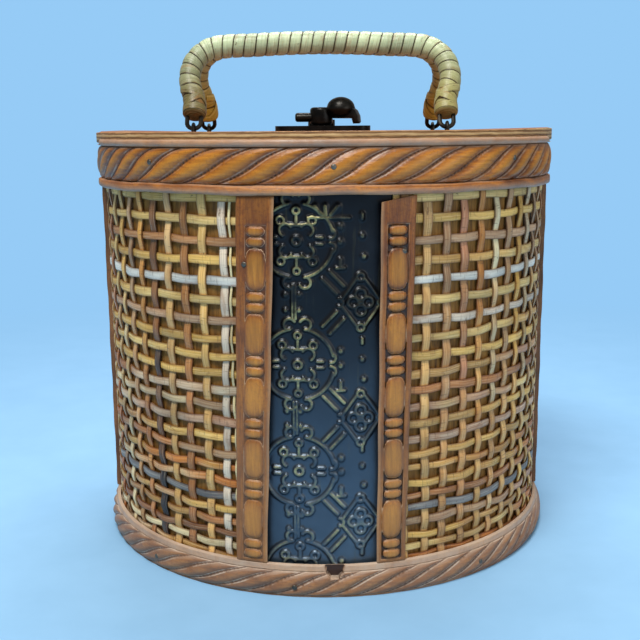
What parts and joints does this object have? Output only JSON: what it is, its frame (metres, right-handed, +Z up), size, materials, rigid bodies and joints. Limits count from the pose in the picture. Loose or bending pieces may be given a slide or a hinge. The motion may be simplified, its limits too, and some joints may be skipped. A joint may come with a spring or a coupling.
{
  "type": "rattan box purse",
  "caption": "Round clamshell purse of woven cane on wood, with rope-carved mouldings, embossed dark metal panels, wrapped handles and a turning catch.",
  "frame": {"origin": "floor level, midway between the two half shells, on the line of the seam", "axes": "+Z up, +X along the seam to the right as seen from the front, -Y towards the front"},
  "size_m": [0.2032, 0.2026, 0.2188],
  "materials": {
    "cane": "woven strips of mixed straw, tan and grey, dry and matt",
    "handle_cane": "flat wrapping cane, pale and slightly shiny",
    "moulding_wood": "rope carving, stained and faded",
    "strip_wood": "carved beads, orange-brown varnish worn on the high parts",
    "plywood": "thin layered board, weathered edge",
    "inner_wood": "plain unfinished wood",
    "embossed_metal": "near-black paint rubbed to brass on the raised lines",
    "dark_bronze": "near-black bronze, smooth and worn",
    "dark_wire": "blackened wire",
    "hinge_steel": "dull old steel"
  },
  "bodies": {
    "rear_shell": {"rear_top_board": "plywood", "rear_base_board": "inner_wood", "rear_wall": "inner_wood", "rear_cane_left": "cane", "rear_cane_right": "cane", "rear_metal_panel": "embossed_metal", "rear_top_moulding": "moulding_wood", "rear_base_moulding": "moulding_wood", "rear_carved_strip_left": "strip_wood", "rear_carved_strip_right": "strip_wood", "rear_side_strip_left": "strip_wood", "rear_side_strip_right": "strip_wood", "rear_staple_left": "dark_wire", "rear_staple_right": "dark_wire", "catch_keeper": "dark_bronze", "keeper_screw_1": "dark_bronze", "keeper_screw_2": "dark_bronze", "hinge_left_rear_leaf": "hinge_steel", "hinge_right_rear_leaf": "hinge_steel", "hinge_left_pin": "hinge_steel", "hinge_right_pin": "hinge_steel"},
    "front_shell": {"front_top_board": "plywood", "front_base_board": "inner_wood", "front_wall": "inner_wood", "front_cane_left": "cane", "front_cane_right": "cane", "front_metal_panel": "embossed_metal", "front_top_moulding": "moulding_wood", "front_base_moulding": "moulding_wood", "front_carved_strip_left": "strip_wood", "front_carved_strip_right": "strip_wood", "front_side_strip_left": "strip_wood", "front_side_strip_right": "strip_wood", "front_staple_left": "dark_wire", "front_staple_right": "dark_wire", "catch_plate": "dark_bronze", "catch_screw_1": "dark_bronze", "catch_screw_2": "dark_bronze", "hinge_left_front_leaf": "hinge_steel", "hinge_right_front_leaf": "hinge_steel"},
    "front_handle": {"front_handle_core": "inner_wood", "front_handle_winding": "handle_cane", "front_ring_left": "dark_wire", "front_ring_right": "dark_wire"},
    "rear_handle": {"rear_handle_core": "inner_wood", "rear_handle_winding": "handle_cane", "rear_ring_left": "dark_wire", "rear_ring_right": "dark_wire"},
    "catch_lever": {"catch_lever": "dark_bronze"}
  },
  "joints": [
    {"name": "shell_hinge", "type": "hinge", "parent": "rear_shell", "child": "front_shell", "pos_m": [0, 0, 0.002], "axis": [1, 0, 0], "range_deg": [0, 75]},
    {"name": "front_handle_swing", "type": "hinge", "parent": "front_shell", "child": "front_handle", "pos_m": [-0.0015, -0.028, 0.17725], "axis": [1, 0, 0], "range_deg": [0, 95]},
    {"name": "rear_handle_swing", "type": "hinge", "parent": "rear_shell", "child": "rear_handle", "pos_m": [-0.0015, 0.028, 0.17725], "axis": [-1, 0, 0], "range_deg": [0, 95]},
    {"name": "catch_turn", "type": "hinge", "parent": "front_shell", "child": "catch_lever", "pos_m": [-0.0011, -0.0062, 0.1782], "axis": [0, 0, 1], "range_deg": [0, 90]}
  ]
}
